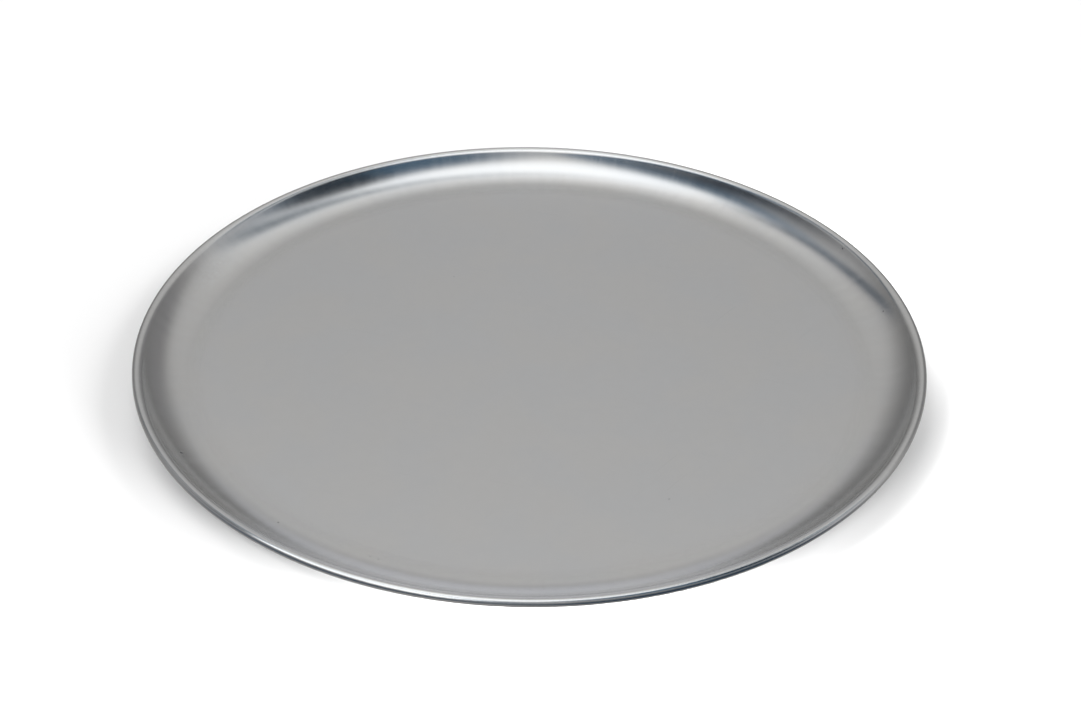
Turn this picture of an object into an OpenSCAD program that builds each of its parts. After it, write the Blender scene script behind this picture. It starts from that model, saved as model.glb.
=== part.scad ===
// Shallow round pan of the coupe kind, in millimetres.
// One disc of aluminium sheet is pressed into a flat floor and a low curved wall.
// Its edge bends outward over a rounded shoulder and rolls on round a ring of steel wire.
// The origin is where the pan's axis meets the table, and +Z is up.

/* [Pan] */
// Outside diameter, across the rolled rim
pan_d = 406; // [254:1:508]
// Height of the rim's top above the table
pan_h = 12.5; // [10:0.5:18]
// Inside radius of the curved wall
cove_r = 28; // [24:1:50]

/* [Sheet] */
// Thickness of the aluminium sheet
sheet_t = 1; // [0.8:0.1:1.4]

/* [Rim] */
// Radius of the shoulder between the wall and the roll, on its visible side
shoulder_r = 4.5; // [4:0.1:6]
// Thickness of the wire inside the rolled rim
wire_d = 2.1; // [1.6:0.1:3]
// Space between the two ends of the wire ring
wire_gap = 1.5; // [0.5:0.5:5]

/* [Hidden] */
$fn = 180;

// Play between the wire and the sheet rolled round it, and between the sheet's edge and the shoulder
wire_play = 0.05;
seam_gap = 0.15;
// How far the shoulder stands in from the line of the wall, which leaves a fine crease between them
shoulder_set = 0.05;

// The roll: inside and outside radius of the sheet round the wire
roll_in = wire_d / 2 + wire_play;
roll_out = roll_in + sheet_t;

// The wire and the shoulder's centre are both on the circle wire_r, and the rim's top is over them
wire_r = pan_d / 2 - roll_out;
wire_z = pan_h - roll_out;
shoulder_z = pan_h - shoulder_r;
// The wall's centre is over the floor's edge, and the wall meets the shoulder where its slope is wall_slope
cove_z = sheet_t + cove_r;
cove_reach = cove_r + shoulder_r - shoulder_set;
wall_slope = acos((cove_z - shoulder_z) / cove_reach);
floor_r = wire_r - cove_reach * sin(wall_slope);

// Where the sheet's edge stops, seen from the wire: seam_gap short of the inside of the shoulder
edge_reach = shoulder_r - sheet_t - seam_gap;
wire_rise = wire_z - shoulder_z;
edge_angle = 90 + acos((edge_reach ^ 2 - wire_rise ^ 2 - roll_out ^ 2) / (2 * wire_rise * roll_out));

// Unit vector at an angle, anticlockwise from the outward direction
function ray(angle) = [cos(angle), sin(angle)];

// Triangle with its point at the origin, from one angle through a turn
module wedge(reach, start, turn) {
    polygon([[0, 0], reach * ray(start), reach * ray(start + turn)]);
}

// Flat ring between two radii
module ring(r_in, r_out) {
    difference() {
        circle(r_out);
        circle(r_in);
    }
}

// Half section of the curved wall and the shoulder, as one bent strip
module wall_section() {
    difference() {
        union() {
            translate([floor_r, cove_z])
                intersection() {
                    ring(cove_r, cove_r + sheet_t);
                    wedge(2 * cove_z, -90, wall_slope);
                }
            translate([wire_r, shoulder_z])
                intersection() {
                    circle(shoulder_r);
                    wedge(3 * shoulder_r, 90, wall_slope + 12);
                }
        }
        translate([wire_r, shoulder_z])
            circle(shoulder_r - sheet_t);
        difference() {
            translate([wire_r, shoulder_z])
                wedge(3 * shoulder_r, 90 + wall_slope, 30);
            translate([floor_r, cove_z])
                circle(cove_r + sheet_t);
        }
    }
}

// Half section of the roll round the wire, from the rim's top to the sheet's edge under it
module roll_section() {
    translate([wire_r, wire_z])
        difference() {
            ring(roll_in, roll_out);
            wedge(3 * roll_out, 90, edge_angle - 90);
        }
}

// The pan itself, one piece of sheet from the floor to the edge tucked under the rim
module pan_shell() {
    color("silver")
        rotate_extrude() {
            square([floor_r, sheet_t]);
            wall_section();
            roll_section();
        }
}

// Galvanised wire bent to a ring, its cut ends facing each other at the back
module rim_wire() {
    gap_angle = 360 * wire_gap / (2 * PI * wire_r);
    color("lightslategray")
        rotate([0, 0, 90 + gap_angle / 2])
            rotate_extrude(angle = 360 - gap_angle)
                translate([wire_r, wire_z])
                    circle(d = wire_d);
}

pan_shell();
rim_wire();
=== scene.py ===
"""A shallow round aluminium pan, its rim rolled over a steel wire, on a pale floor in soft light."""
import math

import bpy
import numpy as np
from mathutils import Matrix, Vector, noise


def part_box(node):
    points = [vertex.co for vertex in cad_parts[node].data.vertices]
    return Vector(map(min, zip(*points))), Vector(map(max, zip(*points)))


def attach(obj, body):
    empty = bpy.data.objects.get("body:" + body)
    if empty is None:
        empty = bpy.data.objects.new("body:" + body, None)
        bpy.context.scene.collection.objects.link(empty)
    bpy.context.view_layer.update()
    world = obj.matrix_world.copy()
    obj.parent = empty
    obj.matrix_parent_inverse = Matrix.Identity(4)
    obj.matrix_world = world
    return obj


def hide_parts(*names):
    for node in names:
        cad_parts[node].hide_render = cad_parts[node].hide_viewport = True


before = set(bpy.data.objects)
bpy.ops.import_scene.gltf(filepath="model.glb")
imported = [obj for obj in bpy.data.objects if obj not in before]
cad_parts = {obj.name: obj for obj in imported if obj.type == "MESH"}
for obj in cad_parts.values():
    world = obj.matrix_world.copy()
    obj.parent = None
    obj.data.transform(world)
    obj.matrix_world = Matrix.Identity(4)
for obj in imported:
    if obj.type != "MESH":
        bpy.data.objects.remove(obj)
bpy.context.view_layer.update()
scene = bpy.context.scene

# ---------------------------------------------------------------- sizes, in metres

SHEET = 0.001
COVE_R = 0.028
SHOULDER_R = 0.0045
SHOULDER_SET = 0.00005
WIRE_PLAY = 0.00005
SEAM_GAP = 0.00015

_, pan_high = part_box("pan_shell")
wire_low, wire_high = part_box("rim_wire")
PAN_R = pan_high.x
PAN_H = pan_high.z
ROLL_IN = (wire_high.z - wire_low.z) / 2 + WIRE_PLAY
ROLL_OUT = ROLL_IN + SHEET
WIRE_R = PAN_R - ROLL_OUT
WIRE_Z = PAN_H - ROLL_OUT
SHOULDER_Z = PAN_H - SHOULDER_R

# The wall bends up from the floor and meets the rounded shoulder where its slope is WALL_SLOPE
COVE_Z = SHEET + COVE_R
COVE_REACH = COVE_R + SHOULDER_R - SHOULDER_SET
WALL_SLOPE = math.acos((COVE_Z - SHOULDER_Z) / COVE_REACH)
FLOOR_R = WIRE_R - COVE_REACH * math.sin(WALL_SLOPE)
CREASE_R = FLOOR_R + COVE_R * math.sin(WALL_SLOPE)

# The roll goes on from the shoulder's top, round the wire, and stops short of the shoulder's inside
EDGE_REACH = SHOULDER_R - SHEET - SEAM_GAP
WIRE_RISE = WIRE_Z - SHOULDER_Z
EDGE_COSINE = (EDGE_REACH ** 2 - WIRE_RISE ** 2 - ROLL_OUT ** 2) / (2 * WIRE_RISE * ROLL_OUT)
ROLL_TURN = math.radians(270) - math.acos(EDGE_COSINE) + math.radians(90)

# Hand spinning leaves a slow ripple in the wall, and the cut edge wanders a little
WALL_RIPPLE = 0.00008
RIPPLE_WAVES = 3.5
EDGE_WANDER = math.radians(6)
EDGE_WAVES = 6

# Mesh steps: round the pan, across the floor, up the wall, over the shoulder, and round the roll
AROUND = 720
FLOOR_STEPS = 12
WALL_STEPS = 30
SHOULDER_STEPS = 16
ROLL_OUT_STEPS = 56
ROLL_IN_STEPS = 48

DOWN = math.radians(-90)
UP = math.radians(90)


# ---------------------------------------------------------------- mesh helpers

def arc(centre_r, centre_z, radius, start, end, steps):
    """Points (r, z) on a circle of the half section; angles are anticlockwise from outward."""
    angles = np.linspace(start, end, steps + 1)
    return [(centre_r + radius * math.cos(a), centre_z + radius * math.sin(a)) for a in angles]


def lathe(name, section_at, around):
    """Closed solid of revolution; section_at(turn) gives (r, z) from the axis and back to it."""
    turns = np.linspace(0, 2 * math.pi, around, endpoint=False)
    sections = [section_at(t) for t in turns]
    verts = [(0, 0, sections[0][0][1]), (0, 0, sections[0][-1][1])]
    rows = len(sections[0]) - 2
    for row in range(1, rows + 1):
        for turn, section in zip(turns, sections):
            r, z = section[row]
            verts.append((r * math.cos(turn), r * math.sin(turn), z))

    def corner(row, k):
        return 2 + row * around + k % around

    faces = [(0, corner(0, k), corner(0, k + 1)) for k in range(around)]
    faces += [(1, corner(rows - 1, k + 1), corner(rows - 1, k)) for k in range(around)]
    for row in range(rows - 1):
        for k in range(around):
            near = (corner(row, k), corner(row + 1, k))
            far = (corner(row + 1, k + 1), corner(row, k + 1))
            faces.append(near + far)
    mesh = bpy.data.meshes.new(name)
    mesh.from_pydata(verts, [], faces)
    mesh.polygons.foreach_set("use_smooth", [True] * len(mesh.polygons))
    mesh.update()
    obj = bpy.data.objects.new(name, mesh)
    scene.collection.objects.link(obj)
    return obj


# ---------------------------------------------------------------- node helpers

class Nodes:
    """Short calls for building a node tree."""

    def __init__(self, tree):
        self.tree = tree
        tree.nodes.clear()

    def add(self, kind, inputs=None, **props):
        node = self.tree.nodes.new(kind)
        for key, value in props.items():
            setattr(node, key, value)
        for key, value in (inputs or {}).items():
            self.set(node.inputs[key], value)
        return node

    def set(self, socket, value):
        if isinstance(value, bpy.types.NodeSocket):
            self.tree.links.new(value, socket)
        else:
            socket.default_value = value

    def math(self, operation, a, b=0.0, c=0.0):
        return self.add("ShaderNodeMath", {0: a, 1: b, 2: c}, operation=operation).outputs[0]

    def sum(self, *values):
        total = values[0]
        for value in values[1:]:
            total = self.math("ADD", total, value)
        return total

    def product(self, *values):
        total = values[0]
        for value in values[1:]:
            total = self.math("MULTIPLY", total, value)
        return total

    def centred(self, value, size):
        """A noise value, which lies round a half, as plus or minus half the size."""
        return self.math("MULTIPLY_ADD", value, size, -size / 2)

    def vector(self, operation, a, b=(0, 0, 0), c=(0, 0, 0), scale=1.0):
        inputs = {0: a, 1: b, 2: c, 3: scale}
        return self.add("ShaderNodeVectorMath", inputs, operation=operation).outputs["Vector"]

    def length(self, a):
        return self.add("ShaderNodeVectorMath", {0: a}, operation="LENGTH").outputs["Value"]

    def dot(self, a, b):
        node = self.add("ShaderNodeVectorMath", {0: a, 1: b}, operation="DOT_PRODUCT")
        return node.outputs["Value"]

    def combine(self, x, y, z):
        return self.add("ShaderNodeCombineXYZ", {0: x, 1: y, 2: z}).outputs[0]

    def noise(self, vector, detail=2.0, roughness=0.5):
        inputs = {"Vector": vector, "Scale": 1.0, "Detail": detail, "Roughness": roughness}
        return self.add("ShaderNodeTexNoise", inputs, noise_dimensions="3D").outputs[0]

    def remap(self, value, low, high, to_low=0.0, to_high=1.0, smooth=True):
        kind = "SMOOTHSTEP" if smooth else "LINEAR"
        inputs = {0: value, 1: low, 2: high, 3: to_low, 4: to_high}
        return self.add("ShaderNodeMapRange", inputs, interpolation_type=kind).outputs[0]

    def mix(self, factor, a, b, blend="MIX"):
        node = self.add("ShaderNodeMix", data_type="RGBA", blend_type=blend)
        for key, value in (("Factor_Float", factor), ("A_Color", a), ("B_Color", b)):
            socket = next(s for s in node.inputs if s.identifier == key)
            self.set(socket, value)
        return next(s for s in node.outputs if s.identifier == "Result_Color")

    def ramp(self, factor, stops):
        node = self.add("ShaderNodeValToRGB", {0: factor})
        points = node.color_ramp.elements
        for i, (place, colour) in enumerate(stops):
            point = points[i] if i < len(points) else points.new(place)
            point.position = place
            point.color = (*colour, 1)
        return node.outputs[0]


# ---------------------------------------------------------------- the pan

def slow_noise(turn, waves, layer):
    """Smooth value from -1 to 1 that goes once round the pan and meets itself."""
    return noise.noise(Vector((waves * math.cos(turn), waves * math.sin(turn), layer)))


def wall_arc(radius, start, end, ripple):
    """The curved wall's inner or outer side; the ripple fades at the floor and the shoulder."""
    points = []
    for a in np.linspace(start, end, WALL_STEPS + 1):
        reach = radius + ripple * math.sin(math.pi * (a - DOWN) / WALL_SLOPE) ** 2
        points.append((FLOOR_R + reach * math.cos(a), COVE_Z + reach * math.sin(a)))
    return points


def shoulder_arc(radius, start, end):
    """The shoulder's outer or inner side, eased in by SHOULDER_SET where it meets the wall."""
    points = []
    for a in np.linspace(start, end, SHOULDER_STEPS + 1):
        on_top = (UP + WALL_SLOPE - a) / WALL_SLOPE
        reach = radius - SHOULDER_SET * (1 + math.cos(math.pi * on_top)) / 2
        points.append((WIRE_R + reach * math.cos(a), SHOULDER_Z + reach * math.sin(a)))
    return points


def pan_section(turn):
    """Half section of the sheet: floor, wall, shoulder, and the edge rolled round the wire."""
    foot = DOWN + WALL_SLOPE
    wall_top = UP + WALL_SLOPE
    ripple = WALL_RIPPLE * slow_noise(turn, RIPPLE_WAVES, 0)
    edge = UP - ROLL_TURN + EDGE_WANDER * (1 + slow_noise(turn, EDGE_WAVES, 5)) / 2
    section = [(0, SHEET)]
    section += [(r, SHEET) for r in np.linspace(0, FLOOR_R, FLOOR_STEPS + 1)[1:-1]]
    section += wall_arc(COVE_R, DOWN, foot, ripple)
    section += shoulder_arc(SHOULDER_R, wall_top, UP)[1:]
    section += arc(WIRE_R, WIRE_Z, ROLL_OUT, UP, edge, ROLL_OUT_STEPS)[1:]
    section += arc(WIRE_R, WIRE_Z, ROLL_IN, edge, UP, ROLL_IN_STEPS)
    section += shoulder_arc(SHOULDER_R - SHEET, UP, wall_top)[1:]
    section += wall_arc(COVE_R + SHEET, foot, DOWN, ripple)[1:]
    section += [(r, 0) for r in np.linspace(FLOOR_R, 0, FLOOR_STEPS + 1)[1:-1]]
    section += [(0, 0)]
    return section


# Small dark marks: distance from the axis in metres, angle from +X in degrees, radius in metres
SPECKS = [
    (0.1895, 207, 0.0011),
    (0.1785, 229, 0.0005),
    (0.1745, 247, 0.0004),
    (0.1970, 30, 0.0005),
    (0.1922, 13, 0.0005),
    (0.0900, 118, 0.0003),
    (0.1320, 301, 0.0004),
]
# Frosted places on the wall: angle from +X and half width, in degrees
FROSTS = [(155, 10), (50, 10)]

WARM_SHEET = (0.825, 0.816, 0.800, 1)
COOL_SHEET = (0.812, 0.810, 0.804, 1)
FROST_WHITE = (0.88, 0.90, 0.92, 1)
SPECK_BLACK = (0.10, 0.10, 0.11, 1)


def around_axis(n, place):
    """Distance from the pan's axis, and the unit vector that points away from it."""
    flat = n.vector("MULTIPLY", place, (1, 1, 0))
    return n.length(flat), n.vector("NORMALIZE", flat)


def drawing_marks(n, outward, radius, width, length):
    """Fine marks that run up the wall, where the punch drew the sheet."""
    across = n.vector("SCALE", outward, scale=PAN_R / width)
    along = n.combine(0.0, 0.0, n.math("DIVIDE", radius, length))
    return n.noise(n.vector("ADD", across, along))


def ring_marks(n, outward, radius, height, width):
    """Fine lines round the pan, left by the rolling tool."""
    drift = n.vector("SCALE", outward, scale=3.0)
    step = n.math("DIVIDE", n.math("ADD", radius, height), width)
    return n.noise(n.vector("ADD", drift, n.combine(0.0, 0.0, step)))


def hairlines(n, place, angle, layer):
    """Faint straight scratches along one direction, broken up into short lengths."""
    inputs = {"Vector": place, "Angle": math.radians(angle)}
    turned = n.add("ShaderNodeVectorRotate", inputs, rotation_type="Z_AXIS").outputs[0]
    lines = n.noise(n.vector("MULTIPLY_ADD", turned, (14, 1100, 0), (0, 0, layer)))
    patches = n.noise(n.vector("MULTIPLY_ADD", turned, (30, 30, 0), (0, 0, layer + 9)))
    thin = n.remap(lines, 0.69, 0.74)
    return n.math("MULTIPLY", thin, n.remap(patches, 0.5, 0.6))


def specks(n, place):
    """Soft-edged spots at the places in SPECKS."""
    total = 0.0
    for reach, angle, size in SPECKS:
        a = math.radians(angle)
        centre = (reach * math.cos(a), reach * math.sin(a), 0)
        flat = n.vector("MULTIPLY", place, (1, 1, 0))
        apart = n.length(n.vector("SUBTRACT", flat, centre))
        total = n.math("MAXIMUM", total, n.remap(apart, size * 0.35, size, 1.0, 0.0))
    return total


def pits(n, place):
    """Tiny scattered pits: one in a few cells of a cellular pattern."""
    cells = n.add("ShaderNodeTexVoronoi", {"Vector": place, "Scale": 70.0})
    chosen = n.remap(n.dot(cells.outputs["Color"], (1, 0, 0)), 0.90, 0.91, smooth=False)
    spot = n.remap(cells.outputs["Distance"], 0.012, 0.028, 1.0, 0.0)
    return n.math("MULTIPLY", chosen, spot)


def frost(n, outward, radius, place):
    """Matt, speckled places on the lower wall, from etched sheet."""
    grain = n.remap(n.noise(n.vector("SCALE", place, scale=900.0), detail=3.0), 0.42, 0.62)
    band = n.math("MULTIPLY", n.remap(radius, FLOOR_R + 0.004, FLOOR_R + 0.010),
                  n.remap(radius, CREASE_R - 0.007, CREASE_R - 0.002, 1.0, 0.0))
    total = 0.0
    for angle, half in FROSTS:
        a = math.radians(angle)
        facing = n.dot(outward, (math.cos(a), math.sin(a), 0))
        edge, core = math.radians(half), math.radians(half * 0.3)
        here = n.remap(facing, math.cos(edge), math.cos(core))
        total = n.math("MAXIMUM", total, here)
    return n.product(total, band, grain)


def aluminium():
    """Satin rolled sheet, burnished round the wall and rim where the tool stretched it."""
    material = bpy.data.materials.new("aluminium_sheet")
    material.use_nodes = True
    n = Nodes(material.node_tree)
    place = n.add("ShaderNodeTexCoord").outputs["Object"]
    height = n.dot(place, (0, 0, 1))
    radius, outward = around_axis(n, place)
    floor = n.remap(radius, FLOOR_R - 0.022, FLOOR_R - 0.010, 1.0, 0.0)
    wall = n.remap(radius, FLOOR_R - 0.006, FLOOR_R + 0.006)
    drawn = n.remap(radius, FLOOR_R + 0.002, FLOOR_R + 0.008)
    rim = n.remap(radius, CREASE_R, CREASE_R + 0.001)

    clouds = n.noise(n.vector("SCALE", place, scale=22.0), detail=3.0)
    mottle = n.noise(n.vector("SCALE", place, scale=160.0), detail=4.0, roughness=0.65)
    rolled = n.noise(n.vector("MULTIPLY", place, (35, 1700, 0)))
    # The matt floor's finest grain, about a tenth of a millimetre
    grain = n.noise(n.vector("SCALE", place, scale=9000.0), detail=0.0)
    streaks = n.product(n.centred(drawing_marks(n, outward, radius, 0.0011, 0.030), 1.0), wall)
    wide_streaks = n.product(n.centred(drawing_marks(n, outward, radius, 0.006, 0.050), 1.0), wall)
    rings = n.product(n.centred(ring_marks(n, outward, radius, height, 0.0004), 1.0), wall)
    hairs = n.math("MAXIMUM", hairlines(n, place, 17, 1.0), hairlines(n, place, 128, 4.0))
    scratches = n.product(hairs, floor)
    marks = n.math("MAXIMUM", specks(n, place), n.math("MULTIPLY", pits(n, place), 0.7))
    frosted = frost(n, outward, radius, place)

    # Roughness: matt floor, smoother wall and rim
    floor_grain = n.product(
        n.centred(grain, 0.20),
        n.remap(radius, FLOOR_R, FLOOR_R + 0.006, 1.0, 0.0))
    floor_detail = n.sum(
        n.centred(mottle, 0.03),
        n.centred(rolled, 0.03),
        n.product(scratches, 0.06))
    wall_detail = n.sum(
        n.product(streaks, 0.05),
        n.product(wide_streaks, 0.05),
        n.product(rings, 0.03),
        n.product(frosted, 0.05))
    roughness = n.sum(
        n.remap(radius, FLOOR_R - 0.016, FLOOR_R + 0.003, 0.375, 0.215),
        n.centred(clouds, 0.03),
        floor_grain,
        n.product(floor_detail, floor),
        n.product(wall_detail, drawn),
        n.product(marks, 0.3))

    # Colour: a faint warm and cool drift, paler frost, dark specks
    drift = n.mix(n.remap(clouds, 0.35, 0.65), WARM_SHEET, COOL_SHEET)
    shade = n.sum(
        1.0,
        n.centred(mottle, 0.03),
        n.product(streaks, 0.06),
        n.product(wide_streaks, 0.06),
        n.product(scratches, -0.04))
    colour = n.mix(1.0, drift, n.combine(shade, shade, shade), blend="MULTIPLY")
    colour = n.mix(n.math("MULTIPLY", frosted, 0.3), colour, FROST_WHITE)
    colour = n.mix(n.math("MULTIPLY", marks, 0.85), colour, SPECK_BLACK)

    # Relief, in metres
    relief = n.sum(
        n.centred(clouds, 0.00003),
        n.centred(mottle, 0.0000015),
        n.product(streaks, 0.000006),
        n.product(wide_streaks, 0.000025),
        n.product(rings, rim, 0.0000006),
        n.product(scratches, -0.000002),
        n.product(marks, -0.00005),
        n.product(frosted, 0.000002))
    bump = n.add("ShaderNodeBump", {"Height": relief, "Distance": 1.0, "Strength": 1.0})

    shader = n.add("ShaderNodeBsdfPrincipled", {
        "Base Color": colour,
        "Metallic": 1.0,
        "Roughness": roughness,
        "Anisotropic": n.math("MULTIPLY", wall, 0.7),
        "Anisotropic Rotation": 0.25,
        "Tangent": n.add("ShaderNodeTangent", direction_type="RADIAL", axis="Z").outputs[0],
        "Normal": bump.outputs[0],
    })
    n.add("ShaderNodeOutputMaterial", {"Surface": shader.outputs[0]})
    return material


sheet = lathe("pan_sheet", pan_section, AROUND)
sheet.data.materials.append(aluminium())
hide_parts("pan_shell")
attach(sheet, "root")


# ---------------------------------------------------------------- the wire

DARK_ZINC = (0.46, 0.48, 0.51, 1)
PALE_ZINC = (0.60, 0.62, 0.65, 1)


def galvanised():
    """Dull zinc with small spangles."""
    material = bpy.data.materials.new("galvanised_wire")
    material.use_nodes = True
    n = Nodes(material.node_tree)
    place = n.add("ShaderNodeTexCoord").outputs["Object"]
    spangle = n.add("ShaderNodeTexVoronoi", {"Vector": place, "Scale": 500.0}).outputs["Color"]
    tone = n.dot(spangle, (1, 0, 0))
    grain = n.noise(n.vector("SCALE", place, scale=2500.0))
    bump = n.add("ShaderNodeBump", {"Height": n.centred(grain, 0.000006), "Distance": 1.0})
    shader = n.add("ShaderNodeBsdfPrincipled", {
        "Base Color": n.mix(tone, DARK_ZINC, PALE_ZINC),
        "Metallic": 1.0,
        "Roughness": n.sum(n.remap(tone, 0.0, 1.0, 0.34, 0.48), n.centred(grain, 0.1)),
        "Normal": bump.outputs[0],
    })
    n.add("ShaderNodeOutputMaterial", {"Surface": shader.outputs[0]})
    return material


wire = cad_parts["rim_wire"]
wire.data.materials.clear()
wire.data.materials.append(galvanised())


# ---------------------------------------------------------------- floor, light and camera

FLOOR_WHITE = 0.9
FLOOR_HALF = 6.0
FLOOR_DROP = 0.0002
DOME = 0.37

# The camera: height above the table, distance and aim in metres, lens, and how far it's tilted
CAMERA_ELEVATION = 35.05
CAMERA_DISTANCE = 6 * PAN_R
CAMERA_TARGET = Vector((0.0285 * PAN_R, -0.0591 * PAN_R, WIRE_Z))
CAMERA_LENS = 79.25
CAMERA_ROLL = 0.73

# How light the room is at each height above the horizon, in degrees: dim low down, and bright
# under the overhead softbox
ROOM_GREY = [
    (-90, 0.36), (-60, 0.30), (-40, 0.26), (-20, 0.34), (-4, 0.30), (2, 0.15),
    (10, 0.17), (18, 0.23), (26, 0.31), (34, 0.44), (44, 0.48), (50, 0.60),
    (60, 0.70), (67, 0.88), (75, 1.03), (83, 1.20), (90, 1.22),
]

# What stands in the room, laid over each other in this order: azimuth, elevation, half width,
# half height and tilt in degrees, and blur, then the colour
STUDIO = {
    "gap_behind": ((0, 10, 3, 16, 0, 0.6), (0.55, 0.56, 0.60)),
    "dim_back_right": ((36, 20, 20, 10, 0, 0.6), (0.20, 0.20, 0.205)),
    "right_wall": ((90, 16, 24, 18, 0, 0.5), (0.50, 0.50, 0.51)),
    "left_wall": ((-92, 16, 22, 18, 0, 0.5), (0.38, 0.385, 0.40)),
    "softbox": ((5, 87, 46, 17, -21, 0.58), (1.32, 1.36, 1.40)),
    "left_frame": ((-48, 42, 5, 22, 2, 0.2), (0.05, 0.07, 0.10)),
    "right_frame": ((58, 57, 27, 6, -62, 0.9), (0.05, 0.08, 0.11)),
    "right_flag": ((123, 49, 32, 20, 25, 0.4), (0.045, 0.098, 0.16)),
    "left_flag": ((-132, 58, 43, 9, 21, 0.37), (0.04, 0.12, 0.21)),
    "right_flag_edge": ((102, 49, 12, 19, 22, 0.35), (0.006, 0.014, 0.024)),
    "left_flag_edge": ((-108, 43, 30, 17, -28, 0.87), (0.006, 0.013, 0.026)),
    "front_right_fill": ((142, 16, 36, 8, 0, 0.4), (0.17, 0.18, 0.19)),
    "front_flag": ((-168, -2, 32, 18, 0, 0.4), (0.12, 0.14, 0.16)),
    "low_right_flag": ((132, -22, 46, 28, 0, 0.4), (0.022, 0.040, 0.065)),
    "low_left_flag": ((-125, -14, 45, 20, 0, 0.4), (0.05, 0.07, 0.10)),
}


def direction(azimuth, elevation):
    """Unit vector; azimuth 0 is the back (+Y) and 90 the right (+X), in degrees."""
    a, e = math.radians(azimuth), math.radians(elevation)
    return Vector((math.sin(a) * math.cos(e), math.cos(a) * math.cos(e), math.sin(e)))


def studio_floor():
    """A plain pale floor, which the metal doesn't reflect."""
    mesh = bpy.data.meshes.new("studio_floor")
    corners = [(x * FLOOR_HALF, y * FLOOR_HALF, 0) for x, y in ((-1, -1), (1, -1), (1, 1), (-1, 1))]
    mesh.from_pydata(corners, [], [(0, 1, 2, 3)])
    floor = bpy.data.objects.new("studio_floor", mesh)
    scene.collection.objects.link(floor)
    floor.location.z = -FLOOR_DROP
    material = bpy.data.materials.new("studio_floor")
    material.use_nodes = True
    n = Nodes(material.node_tree)
    shader = n.add("ShaderNodeBsdfPrincipled", {
        "Base Color": (FLOOR_WHITE, FLOOR_WHITE, FLOOR_WHITE, 1),
        "Roughness": 1.0,
        "Specular IOR Level": 0.0,
    })
    n.add("ShaderNodeOutputMaterial", {"Surface": shader.outputs[0]})
    mesh.materials.append(material)
    floor.visible_glossy = False


def soft_sun(name, azimuth, elevation, spread, share):
    """A distant soft light that only the floor takes up; share is its part of the floor's white."""
    data = bpy.data.lights.new(name, "SUN")
    data.angle = math.radians(spread)
    data.energy = share * math.pi / (FLOOR_WHITE * math.sin(math.radians(elevation)))
    sun = bpy.data.objects.new(name, data)
    sun.rotation_euler = direction(azimuth, elevation).to_track_quat("Z", "Y").to_euler()
    sun.visible_glossy = False
    scene.collection.objects.link(sun)


def card_light(name, width, height, energy, place, back):
    """A rectangular light that the camera doesn't see, shining away from the direction back."""
    data = bpy.data.lights.new(name, "AREA")
    data.shape = "RECTANGLE"
    data.size = width
    data.size_y = height
    data.energy = energy
    card = bpy.data.objects.new(name, data)
    card.location = place
    card.rotation_euler = back.to_track_quat("Z", "Y").to_euler()
    card.visible_camera = False
    scene.collection.objects.link(card)
    return card


def low_card(name, azimuth, gap, length, energy):
    """A low card near the rim, which fills the shade under it; only the floor takes it up."""
    place = direction(azimuth, 0) * (PAN_R + gap)
    place.z = 0.05
    card = card_light(name, length, 0.03, energy, place, direction(azimuth, 18))
    card.visible_glossy = False


def strip_light():
    """A strip softbox low in front on the left; only the metal shows it, along the near rim."""
    place = Vector((-0.20, -0.295, 0.21))
    aim = Vector((-0.06, -0.19, 0.012))
    width, height = 0.36, 0.18
    energy = 1.25 * math.pi * width * height
    strip = card_light("strip_light", width, height, energy, place, place - aim)
    strip.data.color = (0.96, 0.98, 1.0)
    strip.visible_diffuse = False


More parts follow.
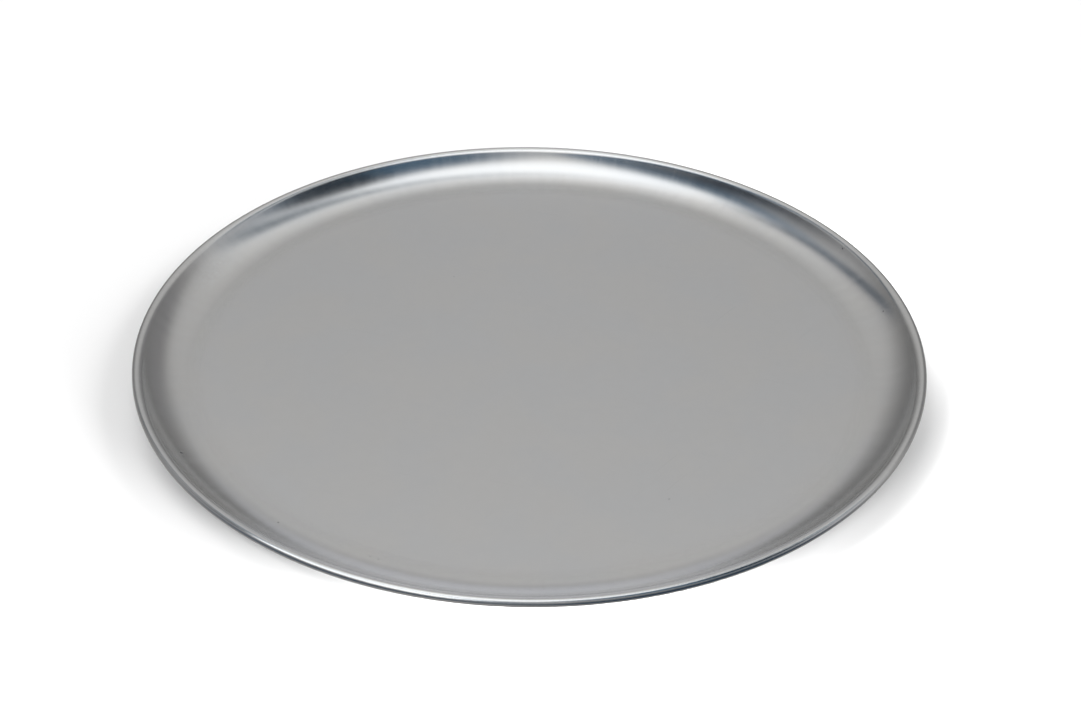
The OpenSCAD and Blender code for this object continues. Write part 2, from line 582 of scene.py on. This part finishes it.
def patch(n, look, under, azimuth, elevation, half_width, half_height, tilt, blur, colour):
    """Lay a soft oval of light or shade over the surroundings; sizes are in degrees."""
    centre = direction(azimuth, elevation)
    side = direction(azimuth + 90, 0)
    lift = side.cross(centre)
    turn = Matrix.Rotation(math.radians(-tilt), 3, centre)
    side, lift = turn @ side, turn @ lift
    ahead = n.dot(look, centre)
    angle = n.math("ARCCOSINE", n.math("MINIMUM", n.math("MAXIMUM", ahead, -1.0), 1.0))
    spread = n.math("DIVIDE", angle, n.math("MAXIMUM", n.math("SINE", angle), 1e-4))
    across = n.math("MULTIPLY", n.dot(look, side), 1 / math.radians(half_width))
    along = n.math("MULTIPLY", n.dot(look, lift), 1 / math.radians(half_height))
    squares = n.sum(n.product(across, across), n.product(along, along))
    size = n.math("SQRT", squares)
    mask = n.remap(n.math("MULTIPLY", size, spread), 1 - blur, 1 + blur, 1.0, 0.0)
    return n.mix(mask, under, (*colour, 1))


def studio_world():
    """White to the camera, an even dome for the floor, and soft lights and flags for the metal."""
    world = bpy.data.worlds.new("studio")
    scene.world = world
    world.use_nodes = True
    world.cycles.sampling_method = "NONE"
    n = Nodes(world.node_tree)
    look = n.add("ShaderNodeTexCoord").outputs["Generated"]
    height = n.remap(n.dot(look, (0, 0, 1)), -1, 1, smooth=False)

    stops = [((1 + math.sin(math.radians(e))) / 2, (v, v, v)) for e, v in ROOM_GREY]
    under = n.ramp(height, stops)
    for shape, colour in STUDIO.values():
        under = patch(n, look, under, *shape, colour)

    rays = n.add("ShaderNodeLightPath")
    colour = n.mix(rays.outputs["Is Diffuse Ray"], under, (DOME, DOME, DOME, 1))
    colour = n.mix(rays.outputs["Is Camera Ray"], colour, (1, 1, 1, 1))
    background = n.add("ShaderNodeBackground", {"Color": colour, "Strength": 1.0})
    n.add("ShaderNodeOutputWorld", {"Surface": background.outputs[0]})


def camera():
    """A long lens in front of the pan, looking down on it."""
    elevation = math.radians(CAMERA_ELEVATION)
    back = Vector((0, -math.cos(elevation), math.sin(elevation)))
    data = bpy.data.cameras.new("camera")
    data.sensor_width = 36
    data.lens = CAMERA_LENS
    data.clip_start = 0.01
    obj = bpy.data.objects.new("camera", data)
    scene.collection.objects.link(obj)
    aim = back.to_track_quat("Z", "Y").to_matrix().to_4x4()
    roll = Matrix.Rotation(math.radians(CAMERA_ROLL), 4, "Z")
    obj.matrix_world = Matrix.Translation(CAMERA_TARGET + CAMERA_DISTANCE * back) @ aim @ roll
    scene.camera = obj


studio_floor()
soft_sun("right_light", 61, 23, 31, 0.22)
soft_sun("left_light", -27, 31, 55, 0.25)
soft_sun("far_left_light", -81, 39, 18, 0.21)
low_card("front_card", 176, 0.105, 0.10, 1.15)
low_card("right_card", 58, 0.062, 0.28, 0.23)
strip_light()
studio_world()
camera()
scene.view_settings.view_transform = "Standard"
